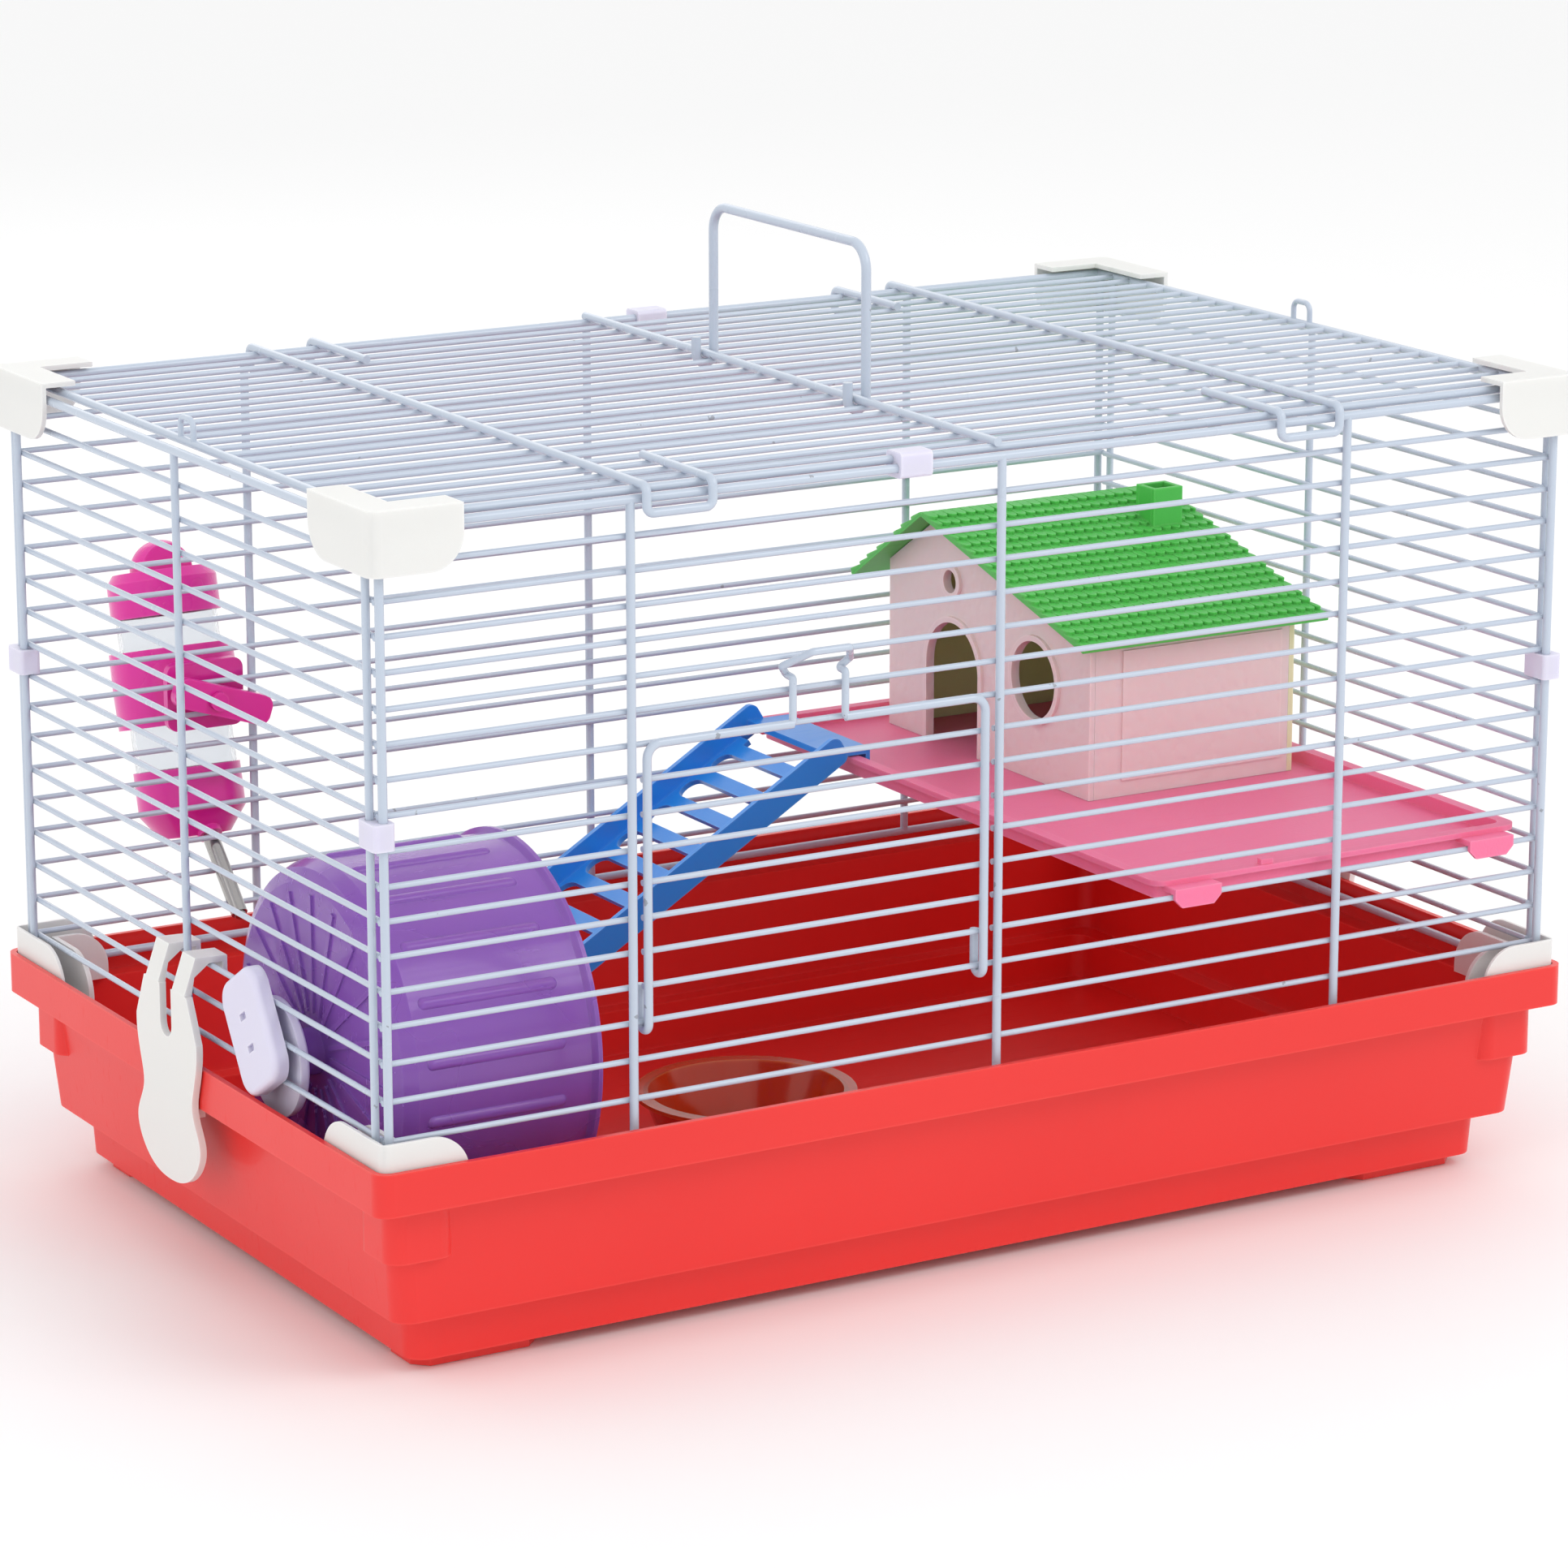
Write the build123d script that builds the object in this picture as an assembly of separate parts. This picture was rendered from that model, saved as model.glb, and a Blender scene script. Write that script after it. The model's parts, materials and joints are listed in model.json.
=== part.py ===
from build123d import *
import math
import os

os.makedirs("parts", exist_ok=True)

# Hamster cage. Millimetres, +Z up, origin at the bottom centre of the tray feet.
# Front of the cage faces -Y; the wheel is at the left (-X), the shelf at the right.

# ---- driving dimensions ----
W = 455.0            # left wall to right wall, wire plane to wire plane
D = 284.0            # front wall to back wall
HX, HY = W / 2, D / 2
POST = 1.5           # radius of posts and rails
BAR = 1.0            # radius of the thin bars
BAR_IN = 2.2         # bars sit this far inside the posts
Z_RAIL = 282.9       # top rail
Z_FOOT_RAIL = 72.0   # bottom rail, down inside the tray rim
BARS = [84.5 + h for h in (186.4, 175.0, 163.7, 152.3, 140.6, 129.4, 118.1, 106.5, 95.0,
                           83.5, 72.3, 60.7, 49.3, 37.8, 25.7, 13.15, 0.0)]
POSTS_X = [-HX, -HX + 88.5, 0.0, HX - 88.5, HX]
DOOR_L, DOOR_R = POSTS_X[1], POSTS_X[2]
Z_LID = 285.3        # rods of the lid
Z_TIE = 287.5        # cross ties lying on the rods
LID_RODS = 23
LID_IN = 3.4
RIM_OUT = 7.5        # tray rim stands out past the wires
Z_RIM_TOP, Z_RIM_LOW = 76.9, 62.5
WALL = 2.0
AXLE_Y, AXLE_Z = -HY + 88.5, 89.5
WHEEL_R = 63.0
WHEEL_X0, WHEEL_X1 = -HX + 17.0, -HX + 90.0
SHELF_Z = 122.5      # top of the shelf floor
LEAN = 15.0          # the bottle leans away from the back wall


# ---- small helpers ----
def rod(p, q, r):
    a, b = Vector(*p), Vector(*q)
    return Solid.make_cylinder(r, (b - a).length, Plane(origin=a, z_dir=b - a))


def bent(points, r, bend):
    """A wire of radius r through the points, with every corner rounded."""
    pts = [Vector(*p) for p in points]
    edges, last = [], pts[0]
    for i in range(1, len(pts) - 1):
        u = (pts[i - 1] - pts[i]).normalized()
        v = (pts[i + 1] - pts[i]).normalized()
        half = math.radians(u.get_angle(v)) / 2
        cut = bend / math.tan(half)
        a, b = pts[i] + u * cut, pts[i] + v * cut
        axis = (u + v).normalized()
        mid = pts[i] + axis * (bend / math.sin(half) - bend)
        if (a - last).length > 1e-4:
            edges.append(Edge.make_line(last, a))
        edges.append(Edge.make_three_point_arc(a, mid, b))
        last = b
    edges.append(Edge.make_line(last, pts[-1]))
    path = Wire(edges)
    start = Plane(origin=path @ 0, z_dir=path % 0)
    return sweep(start * Circle(r), path=path)


def joined(pieces):
    first, *rest = pieces
    return first.fuse(*rest) if rest else first


def single(shape):
    solids = shape.solids()
    return solids[0] if len(solids) == 1 else Compound(list(solids))


def box(x0, x1, y0, y1, z0, z1):
    mid = ((x0 + x1) / 2, (y0 + y1) / 2, (z0 + z1) / 2)
    return Pos(*mid) * Box(x1 - x0, y1 - y0, z1 - z0)


def slab(inset, r, z0, z1):
    """A rounded rectangle block; the inset is measured from the wire planes."""
    return Pos(0, 0, z0) * extrude(RectangleRounded(W - 2 * inset, D - 2 * inset, r), z1 - z0)


def tapered(inset_low, inset_high, r, z0, z1):
    low = Pos(0, 0, z0) * RectangleRounded(W - 2 * inset_low, D - 2 * inset_low, r)
    high = Pos(0, 0, z1) * RectangleRounded(W - 2 * inset_high, D - 2 * inset_high, r)
    return loft([low, high])


# ---- tray ----
def tray():
    outer = slab(-RIM_OUT, 5.5, Z_RIM_LOW, Z_RIM_TOP)
    outer += tapered(4.5, 0.8, 7.0, 21.2, Z_RIM_LOW + 1)
    outer += tapered(13.6, 12.6, 7.0, 4.5, 22.2)
    for sx in (-1, 1):
        for sy in (-1, 1):
            foot = Pos(sx * (HX - 41), sy * (HY - 31), 2.5) * Box(46, 24, 5)
            outer += chamfer(foot.edges().filter_by(Axis.Z), 5)
            pad = Pos(sx * (HX - 11.5), sy * (HY - 11.5), 53.5) * Box(24, 24, 20)
            outer += fillet(pad.edges().filter_by(Axis.Z), 6)
    inner = slab(-RIM_OUT + WALL, 4, Z_RIM_LOW + WALL, Z_RIM_TOP + 1)
    inner += tapered(4.5 + WALL, 0.8 + WALL, 5.5, 21.2 + WALL, Z_RIM_LOW + WALL + 1)
    inner += tapered(13.6 + WALL, 12.6 + WALL, 5.5, 4.5 + WALL, 21.2 + WALL + 1)
    return outer - inner


# ---- wire walls ----
def long_wall(side, gap=None):
    """side -1 is the front wall, +1 the back wall; gap leaves the doorway open."""
    y, yb = side * HY, side * (HY - BAR_IN)
    wires = [rod((x, y, Z_FOOT_RAIL), (x, y, Z_RAIL), POST) for x in POSTS_X]
    for z in (Z_FOOT_RAIL, Z_RAIL):
        wires.append(rod((-HX - 0.8, y, z), (HX + 0.8, y, z), POST))
    for i, z in enumerate(BARS, 1):
        if gap and gap[0] < i < gap[1]:
            wires.append(rod((-HX - 1, yb, z), (DOOR_L + 1.2, yb, z), BAR))
            wires.append(rod((DOOR_R - 1.2, yb, z), (HX + 1, yb, z), BAR))
        else:
            wires.append(rod((-HX - 1, yb, z), (HX + 1, yb, z), BAR))
    return joined(wires)


def end_wall(side):
    """side -1 is the left wall, +1 the right wall."""
    x, xb = side * (HX + 1.8), side * (HX - 0.4)
    far = HY - 5.8
    wires = [rod((x, y, Z_FOOT_RAIL), (x, y, Z_RAIL), POST - 0.15) for y in (-far, 4.0, far)]
    for z in (Z_FOOT_RAIL, Z_RAIL):
        wires.append(rod((x, -far - 0.8, z), (x, far + 0.8, z), POST))
    for z in BARS:
        wires.append(rod((xb, -far - 0.8, z), (xb, far + 0.8, z), BAR))
    return joined(wires)


# ---- lid ----
def hairpin(x, run, side):
    """Tie wire end: over the top rail, down in front of it, across and back over."""
    y0, y1 = side * (HY - 42), side * (HY + 3.6)
    low = 278.6
    return bent([(x, 0, Z_TIE), (x, y1, Z_TIE), (x, y1, low), (x + run, y1, low),
                 (x + run, y1, Z_TIE), (x + run, y0, Z_TIE)], POST, 2.6)


def lid():
    ex, ey = HX - LID_IN, HY - LID_IN
    step = 2 * ey / (LID_RODS + 1)
    wires = [rod((-ex, -ey + k * step, Z_LID), (ex, -ey + k * step, Z_LID), BAR)
             for k in range(1, LID_RODS + 1)]
    for s in (-1, 1):
        wires.append(rod((-ex - 1, s * ey, Z_LID), (ex + 1, s * ey, Z_LID), POST))
        wires.append(rod((s * ex, -ey - 1, Z_LID), (s * ex, ey + 1, Z_LID), POST))
        loop_x = s * (ex + 0.2)
        wires.append(bent([(loop_x, 4 - 5, Z_LID), (loop_x, 4 - 5, Z_LID + 8),
                           (loop_x, 4 + 5, Z_LID + 8), (loop_x, 4 + 5, Z_LID)], BAR, 3))
    wires.append(rod((-1, -HY + 1, Z_TIE), (-1, HY - 1, Z_TIE), POST))
    for x, run in ((-HX + 92.5, 24), (HX - 94.5, -24)):
        wires.append(hairpin(x, run, -1))
        wires.append(hairpin(x, run, 1))
    return joined(wires)


# ---- white plastic corners and clips ----
def base_corner(sx, sy):
    """Two upright L walls with a slot between them for the wires, and a floor web."""
    parts = []
    for t0, t1, tall in ((-4.9, -3.8, 21.0), (5.0, 6.8, 18.0)):
        fx = box(t0, 26, t0, t1, 65, 65 + tall)
        fx = fillet(fx.edges().filter_by(Axis.Y).group_by(Axis.Z)[-1].sort_by(Axis.X)[-1:], 13)
        fy = box(t0, t1, t0, 38, 65, 65 + tall)
        fy = fillet(fy.edges().filter_by(Axis.X).group_by(Axis.Z)[-1].sort_by(Axis.Y)[-1:], 15)
        parts += [fx, fy]
    web = box(-4.9, 26, -4.9, 6.8, 65, 67.2) + box(-4.9, 6.8, -4.9, 38, 65, 67.2)
    part = joined([web] + parts)
    part = fillet(part.edges().filter_by(Axis.Z).sort_by_distance((-4.9, -4.9, 75))[:1], 3)
    part = Pos(-HX, -HY, 0) * part
    if sx > 0:
        part = mirror(part, Plane.YZ)
    if sy > 0:
        part = mirror(part, Plane.XZ)
    return part


def top_corner(sx, sy):
    """Cap over the lid corner: outer skirt with rounded ends and a flat top."""
    z0, z1, t = 268.5, 289.6, 1.7
    out = -5.6
    skirt_x = box(out, 27, out, out + t, z0, z1)
    skirt_x = fillet(skirt_x.edges().filter_by(Axis.Y).group_by(Axis.Z)[0].sort_by(Axis.X)[-1:], 12)
    skirt_y = box(out, out + t, out, 38, z0, z1)
    skirt_y = fillet(skirt_y.edges().filter_by(Axis.X).group_by(Axis.Z)[0].sort_by(Axis.Y)[-1:], 12)
    top = box(out, 27, out, 7, z1 - t, z1) + box(out, 7, out, 38, z1 - t, z1)
    part = joined([top, skirt_x, skirt_y])
    part = fillet(part.edges().filter_by(Axis.Z).sort_by_distance((out, out, 280))[:1], 4)
    part = Pos(-HX, -HY, 0) * part
    if sx > 0:
        part = mirror(part, Plane.YZ)
    if sy > 0:
        part = mirror(part, Plane.XZ)
    return part


def rail_clip(x, side):
    """Small clip squeezing the top rail and the lid edge together."""
    y0, y1 = side * (HY + 3.0), side * (HY - LID_IN - 3.0)
    body = box(x - 6, x + 6, min(y0, y1), max(y0, y1), Z_RAIL - 3.2, Z_LID + 3.0)
    body = fillet(body.edges().filter_by(Axis.X), 1.6)
    body -= rod((x - 9, side * HY, Z_RAIL), (x + 9, side * HY, Z_RAIL), POST + 0.02)
    lid_y = side * (HY - LID_IN)
    return body - rod((x - 9, lid_y, Z_LID), (x + 9, lid_y, Z_LID), POST + 0.02)


def post_clip(sx, sy):
    """Clip joining the two posts of a corner half way up, between two bars."""
    z = (BARS[7] + BARS[8]) / 2
    far = HY - 5.8
    x0, x1 = sx * (HX - 3.0), sx * (HX + 4.6)
    y0, y1 = sy * (HY + 3.0), sy * (far - 3.2)
    body = box(min(x0, x1), max(x0, x1), min(y0, y1), max(y0, y1), z - 4.4, z + 4.4)
    body = fillet(body.edges().filter_by(Axis.Z), 1.5)
    body -= rod((sx * HX, sy * HY, z - 9), (sx * HX, sy * HY, z + 9), POST + 0.02)
    return body - rod((sx * (HX + 1.8), sy * far, z - 9), (sx * (HX + 1.8), sy * far, z + 9),
                      POST + 0.02)


# ---- door ----
HINGE_Y, HINGE_Z = -HY + BAR_IN, BARS[14]


def door():
    y, turn = HINGE_Y - 2.85, 2.85
    xl, xr, top = DOOR_L + 5.2, DOOR_R - 6.0, 203.0
    wires = [bent([(xl, y, HINGE_Z), (xl, y, top), (xl + 54, y, top)], POST, 5),
             bent([(xr - 54, y, top), (xr, y, top), (xr, y, HINGE_Z)], POST, 5)]
    for x in (xl, xr):
        wires.append(bent([(x, y, HINGE_Z + 2), (x, y, HINGE_Z - turn), (x, HINGE_Y + turn,
                     HINGE_Z - turn), (x, HINGE_Y + turn, HINGE_Z + 12)], POST, turn - 0.01))
    for z in BARS[7:14]:
        wires.append(rod((xl - 0.9, y + 2.2, z), (xr + 0.9, y + 2.2, z), BAR))
    la, lb = xl + 54, xr - 54
    wires.append(bent([(la - 1, y, top), (la, y, top), (la, y, 218.2), (la, y + 4.4, 218.6),
                       (la - 3, y + 2.0, 222.0), (la + 3, y - 7.5, 228.0), (lb - 3, y - 7.5, 228.0),
                       (lb + 3, y + 2.0, 222.0), (lb, y + 4.4, 218.6), (lb, y, 218.2),
                       (lb, y, top), (lb + 1, y, top)], 1.25, 0.9))
    return joined(wires)


# ---- carry handle ----
HANDLE_Z = Z_TIE


def carry_handle():
    step = 2 * (HY - LID_IN) / (LID_RODS + 1)
    y0 = -HY + LID_IN + 7.5 * step
    y1 = -HY + LID_IN + 16.5 * step
    turn, r, top = 3.6, 1.7, 340.0
    legs = [bent([(-1 - turn, y, HANDLE_Z + 6), (-1 - turn, y, HANDLE_Z - turn),
                  (-1 + turn, y, HANDLE_Z - turn), (-1 + turn, y, HANDLE_Z + 12)], r, turn - 0.01)
            for y in (y0, y1)]
    bail = bent([(-1 + turn, y0, HANDLE_Z + 10), (-1 + turn, y0, top),
                 (-1 + turn, y1, top), (-1 + turn, y1, HANDLE_Z + 10)], r, 9)
    return joined([bail] + legs)


# ---- side latches ----
LATCH_Z = BARS[14]


def side_latch(side):
    """Drawn for the left wall: two hooks over a bar, a plate, and a tooth under the rim."""
    cy, xb = 4.0, -(HX - 0.4)
    x1 = -(HX + RIM_OUT) - 0.6
    x0 = x1 - 2.4
    outline = Spline((-24, 86), (-21, 70), (-19.5, 62), (-25, 50), (-18, 38), (0, 33),
                     (18, 38), (25, 50), (19.5, 62), (21, 70), (24, 86))
    edge = Polyline((24, 86), (17, 101), (-17, 101), (-24, 86))
    face = make_face([outline, edge])
    plate = Plane(origin=(x0, cy, 0), x_dir=(0, 1, 0), z_dir=(1, 0, 0)) * extrude(face, 2.4)
    slot = box(x0 - 1, x1 + 1, cy - 4.5, cy + 4.5, 88, 120)
    slot += Pos((x0 + x1) / 2, cy, 88) * Rot(0, 90, 0) * Cylinder(4.5, 6)
    plate -= slot
    pieces = [plate]
    for s in (-1, 1):
        ya, yb_ = cy + s * 10.5 - 5, cy + s * 10.5 + 5
        prof = make_face(Polyline((x0, 99), (x1, 99), (x1 + 1.5, LATCH_Z - 3), (xb - 1.5, LATCH_Z + 1.2),
                                  (xb + 3.6, LATCH_Z + 1.2), (xb + 3.6, LATCH_Z - 2.5),
                                  (xb + 5.2, LATCH_Z - 2.5), (xb + 5.2, LATCH_Z + 3.2),
                                  (xb - 6.5, LATCH_Z + 3.6), (x0, 101), (x0, 99)))
        hook = Plane(origin=(0, ya, 0), x_dir=(1, 0, 0), z_dir=(0, -1, 0)) * prof
        pieces.append(extrude(hook, amount=-(yb_ - ya)))
        tooth = box(x1 - 0.2, x1 + 3.6, cy + s * 13 - 4, cy + s * 13 + 4, 58.6, 61.6)
        pieces.append(chamfer(tooth.edges().filter_by(Axis.Y).sort_by(Axis.X)[-2:-1], 1.2))
    part = joined(pieces)
    return mirror(part, Plane.YZ) if side > 0 else part


# ---- wheel ----
def wheel_drum():
    x0, x1, r, t = WHEEL_X0, WHEEL_X1, WHEEL_R, 1.8
    profile = make_face(Polyline((x0, 8), (x0, r - 7), (x0 + 2.2, r - 2.2), (x0 + 7, r), (x1 - 3, r),
                                 (x1 - 1.5, r + 2), (x1, r + 2), (x1, r - t), (x0 + 7.6, r - t),
                                 (x0 + 3.6, r - 3.8), (x0 + 2, r - 7.6), (x0 + 2, 8), (x0, 8)))
    hub = make_face(Polyline((x0 - 7, 3.4), (x0 - 7, 8), (x0, 8), (x0 + 2, 8.4), (x0 + 12, 7),
                             (x0 + 12, 3.4), (x0 - 7, 3.4)))
    face = Plane.XY * (profile + hub)
    drum = revolve(face, Axis.X)
    bars = []
    for k in range(20):
        a = math.radians(18 * k + 9)
        y, z = 62.0 * math.cos(a), 62.0 * math.sin(a)
        tread = rod((x0 + 10, y, z), (x1 - 12, y, z), 2.3)
        tread = fillet(tread.edges(), 2.2)
        bars.append(tread)
        fin = Rot(18 * k, 0, 0) * box(x0 - 0.8, x0 + 0.5, -0.9, 0.9, 13, 53)
        bars.append(fin)
    return Pos(0, AXLE_Y, AXLE_Z) * drum.fuse(*bars)


def wheel_mount_inner():
    disc = Rot(0, 90, 0) * Cylinder(20.2, 3.6)
    disc = fillet(disc.edges().group_by(Axis.X)[-1], 1.4)
    boss = rod((1.6, 0, 0), (4.4, 0, 0), 8)
    part = Pos(-HX + 4.2, AXLE_Y, AXLE_Z) * (disc + boss)
    return part - rod((-HX, AXLE_Y, AXLE_Z), (-HX + 12, AXLE_Y, AXLE_Z), 3.02)


def wheel_mount_outer():
    plate = Rot(0, -90, 0) * RectangleRounded(30, 40, 8)
    block = extrude(plate, amount=5.4, dir=(1, 0, 0))
    block = fillet(block.edges().group_by(Axis.X)[0], 2.2)
    block = Pos(-HX - 6.6, 0, 0) * block
    for s in (-1, 1):
        block -= Pos(-HX - 6.6, 0, s * 0) * box(-1, 1.6, -1.2 + s * 5.5, 1.2 + s * 5.5, -2.4, 2.4)
    block = Rot(58, 0, 0) * block
    block = Pos(0, AXLE_Y + 1.5, AXLE_Z + 9.4) * block
    return block - rod((-HX - 3.5, AXLE_Y, AXLE_Z), (-HX + 2, AXLE_Y, AXLE_Z), 3.02)


def wheel_axle():
    x0 = -HX - 3.4
    pin = rod((x0, 0, 0), (WHEEL_X0 + 14, 0, 0), 3.0)
    head = rod((WHEEL_X0 + 12.4, 0, 0), (WHEEL_X0 + 15.4, 0, 0), 5.6)
    head = fillet(head.edges().group_by(Axis.X)[-1], 1.2)
    return Pos(0, AXLE_Y, AXLE_Z) * (pin + head)


# ---- shelf, ramp, bowl ----
SX0, SX1 = -HX + 295, HX - 5
SY0, SY1 = -HY + 5.4, HY - 5.4


def shelf():
    w, d = SX1 - SX0, SY1 - SY0
    mid = Pos((SX0 + SX1) / 2, 0, 0)
    block = mid * Pos(0, 0, SHELF_Z - 2) * extrude(RectangleRounded(w - 5, d - 5, 5), 7)
    rim = mid * Pos(0, 0, SHELF_Z + 3) * extrude(RectangleRounded(w, d, 6), 2)
    cut = mid * Pos(0, 0, SHELF_Z) * extrude(RectangleRounded(w - 9, d - 9, 4), 9)
    part = block + rim - cut
    z = BARS[13]
    for side in (-1, 1):
        for x in (-HX + 308.5, -HX + 433.5):
            yf, yi = side * (HY + 0.6), side * (HY - 8)
            y_in = side * (HY - 1.1)
            part += box(x - 9.5, x + 9.5, min(yf, yi), max(yf, yi), z + 1.4, z + 3.4)
            lip = box(x - 9.5, x + 9.5, min(yf, y_in + side * 0.2), max(yf, y_in + side * 0.2), z - 3.4, z + 3.4)
            low = lip.edges().filter_by(Axis.Y).group_by(Axis.Z)[0]
            part += chamfer(low, 3)
    part += box(-HX + 339, -HX + 344, SY0 + 0.5, SY0 + 3, SHELF_Z + 4, SHELF_Z + 7)
    return part


RAMP_A = math.degrees(math.atan2(118, 196))
RAMP_Y0, RAMP_Y1 = -HY + 205, -HY + 268.5
HOOK_X, HOOK_Z = SX0 + 1.2, SHELF_Z + 6.0


def ramp():
    """Ladder drawn flat along -X from the hook, then tilted down to the tray floor."""
    length, deep = 228.0, 11.0
    parts = []
    for y in (RAMP_Y0, RAMP_Y1 - 2.2):
        rail = box(-length, 4, y, y + 2.2, -7, deep - 7)
        parts.append(fillet(rail.edges().filter_by(Axis.Y), 3.5))
    for k in range(14):
        x = -14 - 15.7 * k
        parts.append(box(x - 3, x + 3, RAMP_Y0 + 1, RAMP_Y1 - 1, -5.8, -3.8))
    for s, y in ((1, RAMP_Y0), (-1, RAMP_Y1)):
        parts.append(box(-length + 6, -8, min(y, y + s * 9), max(y, y + s * 9), -5.8, -3.8))
    deck = joined(parts)
    holes = []
    for k in range(13):
        x = -14 - 15.7 * k - 7.85
        hole = Pos(x, (RAMP_Y0 + RAMP_Y1) / 2, -4.8) * extrude(
            RectangleRounded(9.6, RAMP_Y1 - RAMP_Y0 - 9, 4.7), 6, both=True)
        holes.append(hole)
    deck = deck.cut(*holes)
    deck = Pos(HOOK_X - 9.0, 0, HOOK_Z + 3.2) * Rot(0, -RAMP_A, 0) * deck
    top = box(HOOK_X - 10.6, HOOK_X + 7.6, RAMP_Y0 + 2, RAMP_Y1 - 2, HOOK_Z + 0.4 - 0.9, HOOK_Z + 1.8)
    lip = box(HOOK_X + 5.8, HOOK_X + 7.6, RAMP_Y0 + 2, RAMP_Y1 - 2, HOOK_Z - 4.2, HOOK_Z + 1.0)
    return joined([deck, top, lip])


def bowl():
    h, r0, r1, t = 22.0, 30.0, 40.0, 1.8
    face = make_face(Polyline((0, 0), (r0 - 2, 0), (r0, 1.5), (r1 - 3, h - 1.4), (r1, h - 1.4), (r1, h),
                              (r1 - 3 - t, h), (r0 - t, 3.4), (r0 - 4, 2.4), (0, 2.4), (0, 0)))
    return Pos(-HX + 215, -HY + 146, 6.55) * revolve(Plane.XZ * face, Axis.Z)


# ---- house ----
GX0, GX1 = -HX + 346, -HX + 436
GY0, GY1, GYR = -HY + 124, -HY + 262, -HY + 226
EAVE_F, EAVE_B, RIDGE = 182.0, 187.0, 210.0
HZ = SHELF_Z + 0.1


def gable(x0, openings):
    outline = Polyline((GY0, HZ), (GY1, HZ), (GY1, EAVE_B), (GYR, RIDGE), (GY0, EAVE_F), (GY0, HZ))
    plane = Plane(origin=(x0, 0, 0), x_dir=(0, 1, 0), z_dir=(1, 0, 0))
    wall = extrude(plane * make_face(outline), 2.2)
    if not openings:
        return wall
    door_y, hole_y, win_y = -HY + 215.5, -HY + 217.5, -HY + 160
    rings = []
    for y, z, r in ((hole_y, 186.5, 4.4), (win_y, 160.5, 14.5), (door_y, 153.0, 18.0)):
        disc = Pos(x0, y, z) * Rot(0, 90, 0) * Cylinder(r + 2.2, 3.4)
        if r == 18.0:
            disc += box(x0 - 1.7, x0 + 1.7, y - r - 2.2, y + r + 2.2, HZ, z)
        wall += disc & box(x0 - 1.3, x0 + 1, GY0, GY1, HZ, 215)
        rings.append(Pos(x0, y, z) * Rot(0, 90, 0) * Cylinder(r, 9))
    rings.append(box(x0 - 4, x0 + 4, door_y - 18, door_y + 18, HZ - 1, 153))
    return wall.cut(*rings)


def house_side(y0, top):
    wall = box(GX0 + 2.3, GX1 - 2.3, y0, y0 + 2.2, HZ, top - 1.5)
    panel = box(GX0 + 14, GX1 - 6, y0 - 0.7, y0 + 0.4, HZ + 6, top - 5) if y0 < 0 else None
    return wall + panel if panel else wall


def house_roof():
    x0, x1, t = -HX + 337, -HX + 445, 2.0
    pts = [(-HY + 115.5, 180.1), (GYR, RIDGE + 0.6), (-HY + 275, 178.7)]
    up = t + 0.3
    face = make_face(Polyline(pts[0], pts[1], pts[2], (pts[2][0] + 0.4, pts[2][1] + up),
                              (pts[1][0], pts[1][1] + up), (pts[0][0] - 0.2, pts[0][1] + up), pts[0]))
    plane = Plane(origin=(x0, 0, 0), x_dir=(0, 1, 0), z_dir=(1, 0, 0))
    roof = extrude(plane * face, x1 - x0)
    n = 13
    for k in range(n):
        f = (k + 0.1) / n
        y = pts[0][0] + (pts[1][0] - pts[0][0]) * f
        z = pts[0][1] + (pts[1][1] - pts[0][1]) * f + up
        roof += box(x0, x1, y, y + 3.6, z - 1.2, z + 1.0)
    chim = box(x1 - 26, x1 - 13, -HY + 192, -HY + 204, 196, 219)
    chim -= box(x1 - 24, x1 - 15, -HY + 194, -HY + 202, 210, 220)
    return roof + chim


# ---- drinking bottle ----
BX = -HX + 72.0
BOTTLE = Pos(BX, HY + 21.4, 127.0) * Rot(-LEAN, 0, 0)


def turned(points):
    return revolve(Plane.XZ * make_face(Polyline(*points, points[0])), Axis.Z)


def bottle_body():
    return BOTTLE * turned([(0, -1), (18.5, -1), (18.5, 66), (17, 69), (16, 69), (17, 65),
                                     (17, 1), (0, 1)])


def bottle_bottom_cap():
    cup = turned([(18.8, -1), (18.8, 4), (19.6, 4), (19.6, -12), (13, -21), (0, -22), (0, -19.5),
                  (12, -19), (17.6, -11), (17.6, -3), (18.8, -1)][:-1])
    return cup


def spout_line(t):
    """Point on the spout axis; t grows from the cap towards the inside of the cage."""
    return (BX, HY + 15 - 0.7071 * t, 121.1 - 0.7071 * t)


def bottom_cap_with_neck():
    cup = BOTTLE * bottle_bottom_cap()
    neck = rod(spout_line(-2), spout_line(16.5), 4.6)
    hollow = rod(spout_line(4), spout_line(24), 3.02)
    return (cup + neck) - hollow


def sipper_tube():
    tube = rod(spout_line(6), spout_line(50), 3.0)
    return tube - rod(spout_line(5), spout_line(51), 2.2)


def sipper_ball():
    return Pos(*spout_line(50.2)) * Sphere(2.15)


def bottle_top_cap():
    cap = turned([(18.9, 60), (20.1, 60), (20.1, 73), (17.5, 76.5), (0, 76.5), (0, 70.5), (18.9, 70.5)])
    dome = Pos(0, -1, 76) * (Sphere(11.5) & Pos(0, 0, 12) * Box(30, 12, 24))
    return BOTTLE * (cap + dome)


LEVER_X, LEVER_Z = BX - 1.0, 162.4


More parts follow.
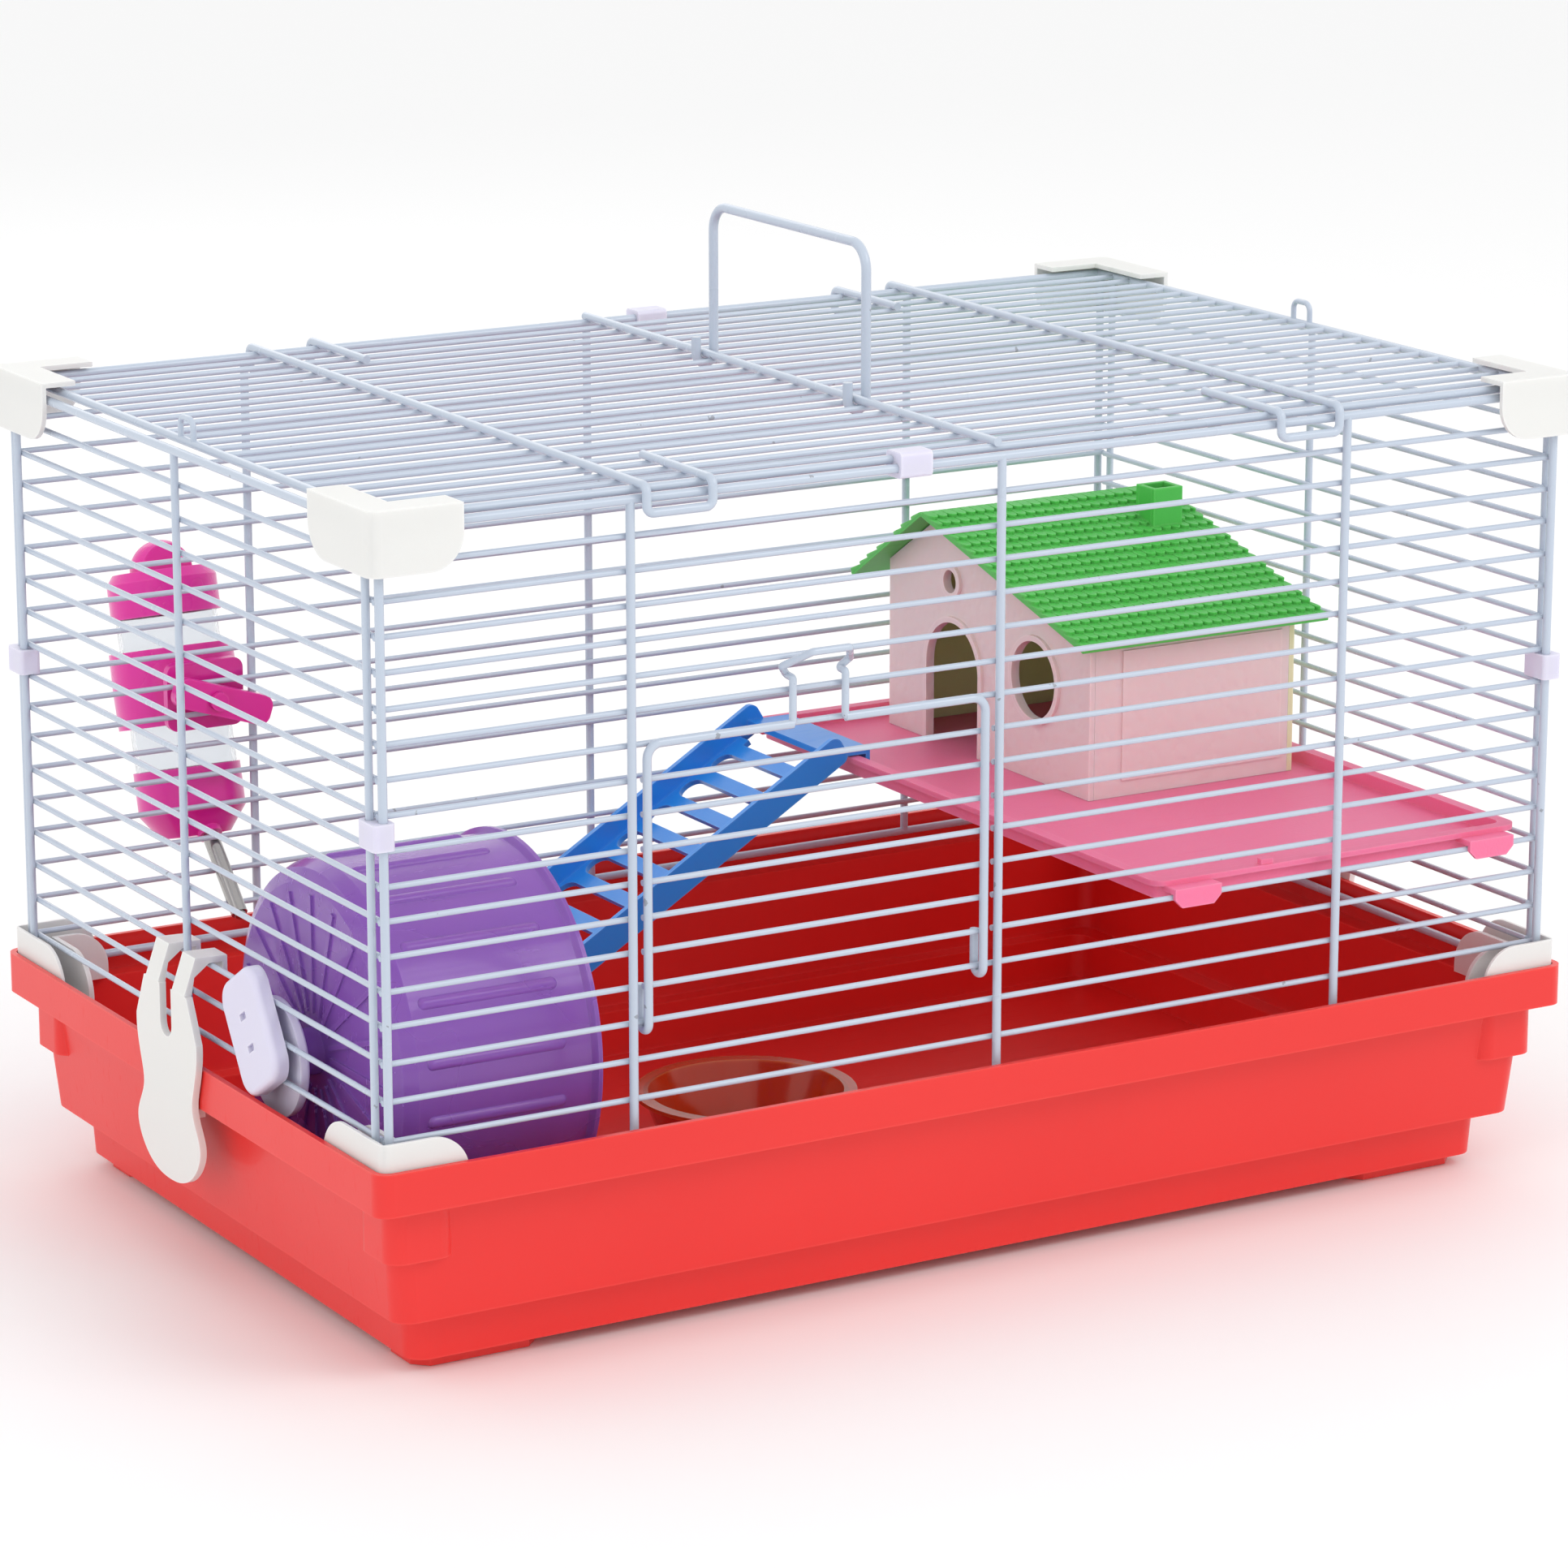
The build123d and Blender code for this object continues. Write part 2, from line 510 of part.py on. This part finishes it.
def bottle_holder():
    ring = turned([(19.2, 20), (22.6, 20), (22.9, 34), (22.6, 48), (19.2, 48)])
    part = BOTTLE * ring
    pad = box(BX - 16, BX + 14, HY + 2.0, HY + 5.2, 150, 175)
    pad = fillet(pad.edges().filter_by(Axis.Y), 4)
    block = box(BX - 10, BX + 8, HY + 3, HY + 14, 154, 170) - BOTTLE * Pos(0, 0, 34) * Cylinder(19.4, 60)
    stem = rod((LEVER_X, HY - 4.6, LEVER_Z), (LEVER_X, HY + 5, LEVER_Z), 3.4)
    pin = rod((LEVER_X, HY - 9.6, LEVER_Z), (LEVER_X, HY - 4, LEVER_Z), 2.0)
    head = rod((LEVER_X, HY - 11, LEVER_Z), (LEVER_X, HY - 9.4, LEVER_Z), 3.4)
    return part + pad + block + stem + pin + head


def holder_lever():
    bar = box(-17, 22, HY - 8.9, HY - 5.1, -5.5, 5.5)
    bar = fillet(bar.edges().filter_by(Axis.Y), 4)
    bar -= rod((0, HY - 12, 0), (0, HY - 2, 0), 2.3)
    return Pos(LEVER_X, 0, LEVER_Z) * Rot(0, 18, 0) * bar


# ---- write every part ----
MIDDLE_Y = 25.15  # from the wire frame's middle to the middle of the whole, bottle included


def save(shape, name):
    shape = Pos(0, -MIDDLE_Y, 0) * shape
    export_step(single(shape), f"parts/{name}.step")
    b = shape.bounding_box()
    print(name, len(shape.solids()), [round(v, 1) for v in (*b.min, *b.max)])


def main():
    save(tray(), "tray")
    save(long_wall(-1, (7, 15)), "front_panel")
    save(long_wall(1), "back_panel")
    save(end_wall(-1), "left_panel")
    save(end_wall(1), "right_panel")
    save(lid(), "top_panel")
    for sx, side in ((-1, "left"), (1, "right")):
        for sy, end in ((-1, "front"), (1, "back")):
            save(base_corner(sx, sy), f"base_corner_{end}_{side}")
            save(top_corner(sx, sy), f"top_corner_{end}_{side}")
            save(post_clip(sx, sy), f"post_clip_{end}_{side}")
    save(rail_clip(-HX + 193, -1), "rail_clip_front")
    save(rail_clip(-HX + 252, 1), "rail_clip_back")
    save(door(), "door")
    save(carry_handle(), "carry_handle")
    save(side_latch(-1), "side_latch_left")
    save(side_latch(1), "side_latch_right")
    save(wheel_drum(), "wheel_drum")
    save(wheel_mount_inner(), "wheel_mount_inner")
    save(wheel_mount_outer(), "wheel_mount_outer")
    save(wheel_axle(), "wheel_axle")
    save(shelf(), "shelf")
    save(ramp(), "ramp")
    save(bowl(), "bowl")
    save(gable(GX0, True), "house_gable_left")
    save(gable(GX1 - 2.2, False), "house_gable_right")
    save(house_side(GY0, EAVE_F), "house_front_wall")
    save(house_side(GY1 - 2.2, EAVE_B), "house_back_wall")
    save(house_roof(), "house_roof")
    save(bottle_body(), "bottle_body")
    save(bottom_cap_with_neck(), "bottle_bottom_cap")
    save(bottle_top_cap(), "bottle_top_cap")
    save(sipper_tube(), "sipper_tube")
    save(sipper_ball(), "sipper_ball")
    save(bottle_holder(), "bottle_holder")
    save(holder_lever(), "holder_lever")


main()
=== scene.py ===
import json
import math
import random

import bpy
import bmesh
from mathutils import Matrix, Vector


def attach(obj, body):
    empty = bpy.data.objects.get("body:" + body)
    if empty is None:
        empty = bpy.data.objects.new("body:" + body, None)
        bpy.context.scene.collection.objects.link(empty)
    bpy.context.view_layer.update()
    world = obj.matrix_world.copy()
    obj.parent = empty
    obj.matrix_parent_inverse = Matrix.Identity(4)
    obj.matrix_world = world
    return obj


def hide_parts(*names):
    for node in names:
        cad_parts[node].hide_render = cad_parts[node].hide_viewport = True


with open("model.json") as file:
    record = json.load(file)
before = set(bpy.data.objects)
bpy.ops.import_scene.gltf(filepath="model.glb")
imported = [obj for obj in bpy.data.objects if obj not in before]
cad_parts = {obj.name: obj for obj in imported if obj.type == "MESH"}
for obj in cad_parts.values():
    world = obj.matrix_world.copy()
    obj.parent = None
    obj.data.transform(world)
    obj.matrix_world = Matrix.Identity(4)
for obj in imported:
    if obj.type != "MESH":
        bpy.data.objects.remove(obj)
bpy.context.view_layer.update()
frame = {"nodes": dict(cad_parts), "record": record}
nodes = frame["nodes"]
random.seed(7)
print("frame loaded", len(nodes), "pieces")


# ---- shared effects: each group only gives masks, values or colours ----
def newGroup(name, inputs, outputs):
    group = bpy.data.node_groups.new(name, "ShaderNodeTree")
    for label, kind, value in inputs:
        socket = group.interface.new_socket(label, in_out="INPUT", socket_type=kind)
        if value is not None:
            socket.default_value = value
    for label, kind in outputs:
        group.interface.new_socket(label, in_out="OUTPUT", socket_type=kind)
    return group, group.nodes.new("NodeGroupInput"), group.nodes.new("NodeGroupOutput")


def link(tree, a, out, b, into):
    tree.links.new(a.outputs[out], b.inputs[into])


def mapRange(tree, low, high, toLow=0.0, toHigh=1.0):
    node = tree.nodes.new("ShaderNodeMapRange")
    node.inputs["From Min"].default_value = low
    node.inputs["From Max"].default_value = high
    node.inputs["To Min"].default_value = toLow
    node.inputs["To Max"].default_value = toHigh
    return node


# soft tone drift, fine grain and stray scuffs for moulded and coated surfaces
def grainGroup():
    group, start, end = newGroup(
        "surface grain",
        [("Drift Scale", "NodeSocketFloat", 9.0), ("Grain Scale", "NodeSocketFloat", 600.0)],
        [("Drift", "NodeSocketFloat"), ("Grain", "NodeSocketFloat"), ("Scuff", "NodeSocketFloat"),
         ("Chip", "NodeSocketFloat")])
    where = group.nodes.new("ShaderNodeTexCoord")
    drift = group.nodes.new("ShaderNodeTexNoise")
    drift.inputs["Detail"].default_value = 3
    link(group, where, "Object", drift, "Vector")
    link(group, start, "Drift Scale", drift, "Scale")
    link(group, drift, "Fac", end, "Drift")
    grain = group.nodes.new("ShaderNodeTexNoise")
    grain.inputs["Detail"].default_value = 2
    link(group, where, "Object", grain, "Vector")
    link(group, start, "Grain Scale", grain, "Scale")
    link(group, grain, "Fac", end, "Grain")
    stretch = group.nodes.new("ShaderNodeMapping")
    stretch.inputs["Scale"].default_value = (14, 130, 45)
    stretch.inputs["Rotation"].default_value = (0.4, 0.2, 0.9)
    link(group, where, "Object", stretch, "Vector")
    scratch = group.nodes.new("ShaderNodeTexNoise")
    scratch.inputs["Scale"].default_value = 3.0
    scratch.inputs["Detail"].default_value = 6
    link(group, stretch, "Vector", scratch, "Vector")
    scuff = mapRange(group, 0.62, 0.72)
    link(group, scratch, "Fac", scuff, "Value")
    link(group, scuff, "Result", end, "Scuff")
    speck = group.nodes.new("ShaderNodeTexNoise")
    speck.inputs["Scale"].default_value = 170.0
    speck.inputs["Detail"].default_value = 3
    link(group, where, "Object", speck, "Vector")
    chip = mapRange(group, 0.735, 0.75)
    link(group, speck, "Fac", chip, "Value")
    link(group, chip, "Result", end, "Chip")
    return group


# mask of edges, for a painted highlight, and of sheltered corners found by ambient occlusion, for painted
# shade
def sheenShadeGroup():
    group, start, end = newGroup(
        "edges and dust", [("Edge Width", "NodeSocketFloat", 0.0012), ("Reach", "NodeSocketFloat", 0.012)],
        [("Edge", "NodeSocketFloat"), ("Corner Shade", "NodeSocketFloat")])
    soft = group.nodes.new("ShaderNodeBevel")
    soft.samples = 4
    link(group, start, "Edge Width", soft, "Radius")
    flat = group.nodes.new("ShaderNodeNewGeometry")
    dot = group.nodes.new("ShaderNodeVectorMath")
    dot.operation = "DOT_PRODUCT"
    group.links.new(soft.outputs["Normal"], dot.inputs[0])
    group.links.new(flat.outputs["Normal"], dot.inputs[1])
    # painted highlight: mask of rounded edges that catch light
    edge = mapRange(group, 0.995, 0.90)
    link(group, dot, "Value", edge, "Value")
    link(group, edge, "Result", end, "Edge")
    shade = group.nodes.new("ShaderNodeAmbientOcclusion")
    shade.samples = 4
    link(group, start, "Reach", shade, "Distance")
    # painted shade: the less open a corner is, the stronger this mask
    dust = mapRange(group, 0.75, 0.25)
    link(group, shade, "AO", dust, "Value")
    link(group, dust, "Result", end, "Corner Shade")
    return group


grainNodes, sheenShadeNodes = grainGroup(), sheenShadeGroup()


# a procedural material; look holds the values a maker would tune
def surface(name, look):
    mat = bpy.data.materials.new(name)
    mat.use_nodes = True
    tree = mat.node_tree
    shader = tree.nodes["Principled BSDF"]
    grain = tree.nodes.new("ShaderNodeGroup")
    grain.node_tree = grainNodes
    grain.inputs["Drift Scale"].default_value = look.get("driftScale", 9.0)
    grain.inputs["Grain Scale"].default_value = look.get("grainScale", 600.0)
    sheenShade = tree.nodes.new("ShaderNodeGroup")
    sheenShade.node_tree = sheenShadeNodes

    def mix(a, b, mask, amount=1.0):
        node = tree.nodes.new("ShaderNodeMix")
        node.data_type = "RGBA"
        for socket, value in (("A", a), ("B", b)):
            target = [s for s in node.inputs if s.name == socket and s.type == "RGBA"][0]
            if isinstance(value, tuple):
                target.default_value = (*value, 1)
            else:
                tree.links.new(value, target)
        scale = tree.nodes.new("ShaderNodeMath")
        scale.operation = "MULTIPLY"
        tree.links.new(mask, scale.inputs[0])
        scale.inputs[1].default_value = amount
        tree.links.new(scale.outputs[0], node.inputs[0])
        return [s for s in node.outputs if s.type == "RGBA"][0]

    base = look["color"]
    deep = look.get("deep", tuple(c * 0.86 for c in base))
    color = mix(base, deep, grain.outputs["Drift"], look.get("drift", 0.7))
    if "inside" in look:
        turn = tree.nodes.new("ShaderNodeTexCoord")
        split = tree.nodes.new("ShaderNodeVectorMath")
        split.operation = "DOT_PRODUCT"
        split.inputs[1].default_value = look["insideNormal"]
        tree.links.new(turn.outputs["Normal"], split.inputs[0])
        facing = mapRange(tree, 0.4, 0.6)
        tree.links.new(split.outputs["Value"], facing.inputs["Value"])
        color = mix(color, look["inside"], facing.outputs["Result"])
    # painted highlight: edges are mixed towards a lighter colour
    color = mix(color, look.get("edge", tuple(min(1, c * 1.1 + 0.05) for c in base)),
                sheenShade.outputs["Edge"], look.get("edgeAmount", 0.45))
    # painted shade: sheltered corners are mixed towards a dark grey-brown
    color = mix(color, (0.42, 0.38, 0.34), sheenShade.outputs["Corner Shade"], look.get("dust", 0.08))
    if look.get("chips"):
        color = mix(color, (0.10, 0.09, 0.09), grain.outputs["Chip"], look["chips"])
    tree.links.new(color, shader.inputs["Base Color"])

    rough = mapRange(tree, 0.3, 0.7, look["rough"] - 0.05, look["rough"] + 0.06)
    tree.links.new(grain.outputs["Drift"], rough.inputs["Value"])
    worn = tree.nodes.new("ShaderNodeMath")
    worn.operation = "MULTIPLY_ADD"
    tree.links.new(grain.outputs["Scuff"], worn.inputs[0])
    worn.inputs[1].default_value = look.get("scuff", 0.10)
    tree.links.new(rough.outputs["Result"], worn.inputs[2])
    tree.links.new(worn.outputs[0], shader.inputs["Roughness"])

    bump = tree.nodes.new("ShaderNodeBump")
    bump.inputs["Distance"].default_value = look.get("bump", 0.00006)
    bump.inputs["Strength"].default_value = look.get("bumpStrength", 0.5)
    height = grain.outputs["Grain"]
    if look.get("pebble"):
        cells = tree.nodes.new("ShaderNodeTexVoronoi")
        cells.feature = "SMOOTH_F1"
        cells.inputs["Scale"].default_value = look["pebble"]
        place = tree.nodes.new("ShaderNodeTexCoord")
        tree.links.new(place.outputs["Object"], cells.inputs["Vector"])
        height = cells.outputs["Distance"]
    tree.links.new(height, bump.inputs["Height"])
    tree.links.new(bump.outputs["Normal"], shader.inputs["Normal"])
    shader.inputs["Metallic"].default_value = look.get("metal", 0.0)
    shader.inputs["Coat Weight"].default_value = look.get("coat", 0.0)
    shader.inputs["Coat Roughness"].default_value = 0.12
    shader.inputs["Transmission Weight"].default_value = look.get("clear", 0.0)
    shader.inputs["IOR"].default_value = look.get("ior", 1.46)
    shader.inputs["Subsurface Weight"].default_value = look.get("glow", 0.0)
    shader.inputs["Subsurface Scale"].default_value = 0.004
    shader.inputs["Subsurface Radius"].default_value = look.get("glowColor", (1.0, 0.4, 0.3))
    return mat


# in each look, edge and edgeAmount give a painted highlight on edges, and the corner amount gives painted
# shade
looks = {
    "coated_wire": dict(color=(0.53, 0.60, 0.70), deep=(0.48, 0.55, 0.66), rough=0.27, coat=0.5, chips=0.5,
                        bump=0.00008, grainScale=350, edgeAmount=0.0, dust=0.10),
    "tray_red": dict(color=(0.86, 0.028, 0.022), deep=(0.74, 0.018, 0.016), rough=0.36, glow=0.12,
                     edge=(0.95, 0.10, 0.08), bump=0.00005, coat=0.15, dust=0.04, edgeAmount=0.35),
    "white_plastic": dict(color=(0.80, 0.80, 0.78), deep=(0.75, 0.75, 0.72), rough=0.40, glow=0.25,
                          glowColor=(1, 0.95, 0.9), dust=0.12),
    "milky_plastic": dict(color=(0.72, 0.70, 0.84), deep=(0.66, 0.64, 0.79), rough=0.34, glow=0.35,
                          glowColor=(0.9, 0.85, 1)),
    "purple_clear": dict(color=(0.40, 0.16, 0.66), deep=(0.32, 0.11, 0.57), rough=0.25, clear=0.32, ior=1.35,
                         coat=0.35, glow=0.2, glowColor=(0.6, 0.25, 1.0), edge=(0.45, 0.24, 0.75)),
    "shelf_pink": dict(color=(0.92, 0.20, 0.37), deep=(0.86, 0.16, 0.32), rough=0.45, glow=0.25,
                       bump=0.0002, grainScale=900, edge=(0.98, 0.30, 0.45)),
    "ramp_blue": dict(color=(0.022, 0.28, 0.84), deep=(0.02, 0.23, 0.72), rough=0.32, coat=0.2, glow=0.1,
                      glowColor=(0.2, 0.5, 1), edge=(0.12, 0.38, 0.85)),
    "bowl_orange": dict(color=(0.72, 0.09, 0.015), deep=(0.62, 0.06, 0.01), rough=0.16, clear=0.6, ior=1.35,
                        coat=0.4, edge=(0.95, 0.35, 0.12)),
    "roof_green": dict(color=(0.09, 0.58, 0.09), deep=(0.06, 0.47, 0.07), rough=0.42, glow=0.15,
                       glowColor=(0.3, 1, 0.3), edge=(0.20, 0.70, 0.18), bump=0.0001),
    "house_wall": dict(color=(0.86, 0.70, 0.69), deep=(0.81, 0.64, 0.64), rough=0.48, pebble=260.0,
                       bump=0.0006, bumpStrength=0.6, glow=0.3, inside=(0.80, 0.83, 0.52),
                       insideNormal=(1, 0, 0), dust=0.14),
    "house_inner": dict(color=(0.80, 0.83, 0.52), deep=(0.74, 0.77, 0.46), rough=0.5, glow=0.2,
                        glowColor=(0.9, 0.9, 0.5)),
    "bottle_clear": dict(color=(0.93, 0.95, 0.97), deep=(0.90, 0.93, 0.96), rough=0.07, clear=0.94, ior=1.18,
                         edgeAmount=0.1, dust=0.02, bump=0.00002, scuff=0.03),
    "bottle_pink": dict(color=(0.82, 0.012, 0.36), deep=(0.70, 0.01, 0.30), rough=0.28, coat=0.3, glow=0.15,
                        edge=(0.92, 0.10, 0.46)),
    "steel": dict(color=(0.46, 0.44, 0.43), deep=(0.36, 0.35, 0.34), rough=0.20, metal=1.0, edgeAmount=0.1,
                  bump=0.00002, dust=0.03),
}
materials = {name: surface(name.replace("_", " "), look) for name, look in looks.items()}
slots = {row["node"]: row["material_slot"] for row in frame["record"]["subparts"]}
roundings = {"tray": 0.0012, "shelf": 0.0007, "ramp": 0.0006, "house_gable_left": 0.0004,
             "house_front_wall": 0.0004, "side_latch_left": 0.0007, "side_latch_right": 0.0007,
             "holder_lever": 0.0006, "bottle_bottom_cap": 0.0005, "bottle_top_cap": 0.0006}
for name, obj in nodes.items():
    obj.data.materials.clear()
    obj.data.materials.append(materials[slots[name]])
    width = roundings.get(name, 0.0005 if "corner" in name else 0)
    if width:
        bevel = obj.modifiers.new("rounding", "BEVEL")
        bevel.width = width
        bevel.segments = 2
        bevel.limit_method = "ANGLE"
        bevel.angle_limit = math.radians(50)
        bevel.harden_normals = True
print("materials done")


# ---- roof with overlapping scalloped shingles ----
# front, ridge and back are (y, z) of the two eaves and the ridge
roofShape = dict(x0=0.1095, x1=0.2175, front=(-0.05165, 0.1801), ridge=(0.05885, 0.2106),
                 back=(0.10785, 0.1787), across=26, rowsFront=19, rowsBack=8, base=0.0017,
                 lift=0.0013, gap=0.03, straight=0.72, scallop=0.5)
chimneyShape = dict(x=(0.1915, 0.2045), y=(0.02485, 0.03685), z=(0.196, 0.2185), wall=0.0018)


def roofPiece(shape, chimney):
    mesh = bmesh.new()

    def prism(corners, up):
        low = [mesh.verts.new(c) for c in corners]
        high = [mesh.verts.new(c + up) for c in corners]
        mesh.faces.new(low[::-1])
        mesh.faces.new(high)
        for i in range(len(low)):
            j = (i + 1) % len(low)
            mesh.faces.new((low[i], low[j], high[j], high[i]))

    ridge = Vector((0, *shape["ridge"]))
    for foot, rows in ((shape["front"], shape["rowsFront"]), (shape["back"], shape["rowsBack"])):
        eave = Vector((0, *foot))
        fall = eave - ridge
        length = fall.length
        down = fall.normalized()
        side = Vector((1, 0, 0))
        normal = side.cross(down)
        if normal.z < 0:
            normal.negate()
        left, right = Vector((shape["x0"], 0, 0)), Vector((shape["x1"], 0, 0))
        prism([left + ridge, right + ridge, right + eave, left + eave], normal * shape["base"])
        pitch = length / rows
        wide = (shape["x1"] - shape["x0"]) / shape["across"]
        for row in range(rows):
            top = ridge + down * (pitch * row)
            shift = 0.5 if row % 2 else 0.0
            for col in range(-1, shape["across"] + 1):
                a = max(shape["x0"], shape["x0"] + (col + shift) * wide + wide * shape["gap"])
                b = min(shape["x1"], shape["x0"] + (col + 1 + shift) * wide - wide * shape["gap"])
                if b - a < wide * 0.2:
                    continue
                mid, half = (a + b) / 2, (b - a) / 2
                straight = pitch * shape["straight"]
                rim = [(a, 0.0), (b, 0.0)]
                rim += [(mid + half * math.cos(t), straight + pitch * shape["scallop"] * math.sin(t))
                        for t in (0.0, 0.5, 1.05, 1.57, 2.09, 2.64, math.pi)]
                slopeUp = shape["lift"] * random.uniform(0.85, 1.1)
                low, high = [], []
                for x, s in rim:
                    s = min(s, length - pitch * row)
                    p = top + down * s + Vector((x, 0, 0)) + normal * shape["base"] * 0.9
                    low.append(mesh.verts.new(p))
                    high.append(mesh.verts.new(p + normal * (0.0003 + slopeUp * s / pitch)))
                mesh.faces.new(high)
                for i in range(len(low)):
                    j = (i + 1) % len(low)
                    mesh.faces.new((low[i], low[j], high[j], high[i]))

    # the chimney is a square pipe of four walls
    def block(x0, x1, y0, y1, z0, z1):
        prism([Vector((x0, y0, z0)), Vector((x1, y0, z0)), Vector((x1, y1, z0)), Vector((x0, y1, z0))],
              Vector((0, 0, z1 - z0)))

    (cx0, cx1), (cy0, cy1), (cz0, cz1) = chimney["x"], chimney["y"], chimney["z"]
    t = chimney["wall"]
    for x0, x1, y0, y1 in ((cx0, cx1, cy0, cy0 + t), (cx0, cx1, cy1 - t, cy1),
                           (cx0, cx0 + t, cy0 + t, cy1 - t), (cx1 - t, cx1, cy0 + t, cy1 - t)):
        block(x0, x1, y0, y1, cz0, cz1)
    bmesh.ops.recalc_face_normals(mesh, faces=mesh.faces)
    data = bpy.data.meshes.new("shingled_roof")
    mesh.to_mesh(data)
    obj = bpy.data.objects.new("shingled_roof", data)
    bpy.context.scene.collection.objects.link(obj)
    data.materials.append(materials["roof_green"])
    bevel = obj.modifiers.new("rounding", "BEVEL")
    bevel.width = 0.00025
    bevel.segments = 2
    bevel.limit_method = "ANGLE"
    bevel.angle_limit = math.radians(40)
    return obj


roof = roofPiece(roofShape, chimneyShape)
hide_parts("house_roof")
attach(roof, "roof")
print("roof done")


# ---- floor, light and camera ----
studio = dict(floor=(0.95, 0.95, 0.95), keyPower=9, fillPower=3, backPower=3, sky=0.98)
bpy.ops.mesh.primitive_plane_add(size=14, location=(0, 0, -0.0002))
floor = bpy.context.object
floor.name = "studio_floor"
paper = bpy.data.materials.new("white paper")
paper.use_nodes = True
paper.node_tree.nodes["Principled BSDF"].inputs["Base Color"].default_value = (*studio["floor"], 1)
paper.node_tree.nodes["Principled BSDF"].inputs["Roughness"].default_value = 0.7
floor.data.materials.append(paper)

scene = bpy.context.scene
world = bpy.data.worlds.new("studio")
scene.world = world
world.use_nodes = True
world.node_tree.nodes["Background"].inputs["Color"].default_value = (1, 1, 1, 1)
world.node_tree.nodes["Background"].inputs["Strength"].default_value = studio["sky"]


def areaLight(name, place, aim, size, power):
    data = bpy.data.lights.new(name, "AREA")
    data.size = size
    data.energy = power
    obj = bpy.data.objects.new(name, data)
    obj.location = place
    obj.rotation_euler = (Vector(aim) - Vector(place)).to_track_quat("-Z", "Y").to_euler()
    scene.collection.objects.link(obj)


areaLight("key", (0.9, -1.5, 1.6), (0, 0, 0.1), 1.0, studio["keyPower"])
areaLight("fill", (-1.7, -0.5, 1.0), (0, 0, 0.1), 1.2, studio["fillPower"])
areaLight("back", (0.3, 1.8, 1.3), (0, 0, 0.15), 1.2, studio["backPower"])

# place and direction of view in metres, focal length in mm
view = dict(place=(-0.9773, -1.68475, 0.6386), aim=(0.4916, 0.8340, -0.2503), lens=128.96)
cameraData = bpy.data.cameras.new("camera")
cameraData.sensor_width = 36
cameraData.lens = view["lens"]
camera = bpy.data.objects.new("camera", cameraData)
camera.location = view["place"]
camera.rotation_euler = Vector(view["aim"]).to_track_quat("-Z", "Y").to_euler()
scene.collection.objects.link(camera)
scene.camera = camera
scene.view_settings.view_transform = "Standard"

print("scene done")
